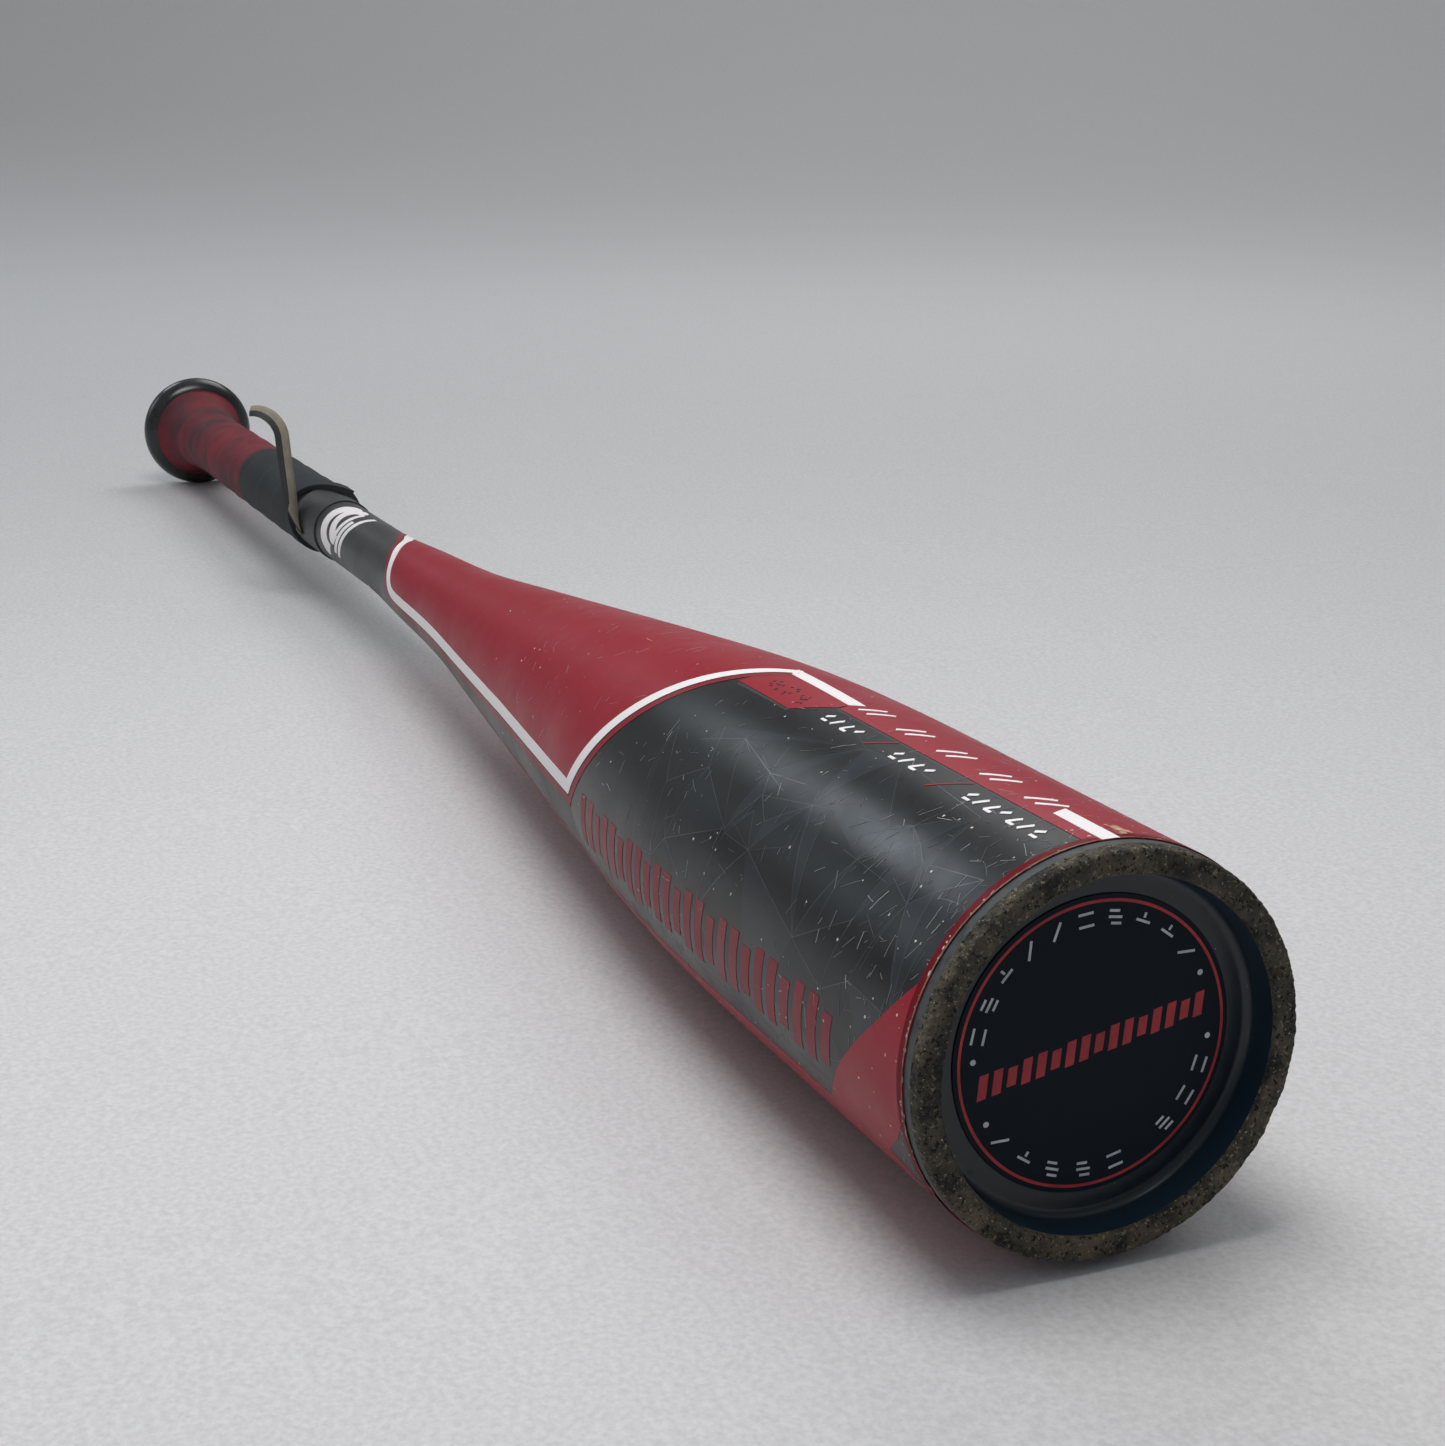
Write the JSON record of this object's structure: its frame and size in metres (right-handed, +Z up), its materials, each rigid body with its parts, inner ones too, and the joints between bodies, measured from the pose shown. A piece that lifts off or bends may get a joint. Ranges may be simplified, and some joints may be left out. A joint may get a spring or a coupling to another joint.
{
  "type": "baseball bat",
  "caption": "Youth alloy baseball bat with a one-piece tapered shell, dished end cap, wrapped grip, flared knob and a loose curled end of finishing tape.",
  "frame": {"origin": "centre of the knob's end face", "axes": "+X along the bat towards the end cap, +Z up as it lies, +Y to its left"},
  "size_m": [0.762, 0.0666, 0.0735],
  "materials": {
    "shell_paint": "satin charcoal and red paint with white lines, scratched and nicked",
    "knob_paint": "satin black paint",
    "weld_metal": "plain welded metal, hidden under the grip",
    "plug_rubber": "moulded matte",
    "badge_film": "printed film",
    "cap_moulding": "moulded polymer, polished in the recess and ground rough along the rim",
    "cap_adhesive": "cured adhesive",
    "decal_film": "printed film with a thin red ring",
    "grip_wrap": "cushioned embossed tape, red turning to charcoal",
    "finish_film": "thin tape, charcoal outside and tan on its adhesive side"
  },
  "bodies": {
    "root": {"barrel_shell": "shell_paint", "knob": "knob_paint", "knob_weld": "weld_metal", "knob_plug": "plug_rubber", "knob_badge": "badge_film", "end_cap": "cap_moulding", "cap_bond": "cap_adhesive", "cap_decal": "decal_film", "grip_tape": "grip_wrap", "finish_tape": "finish_film"}
  },
  "joints": []
}
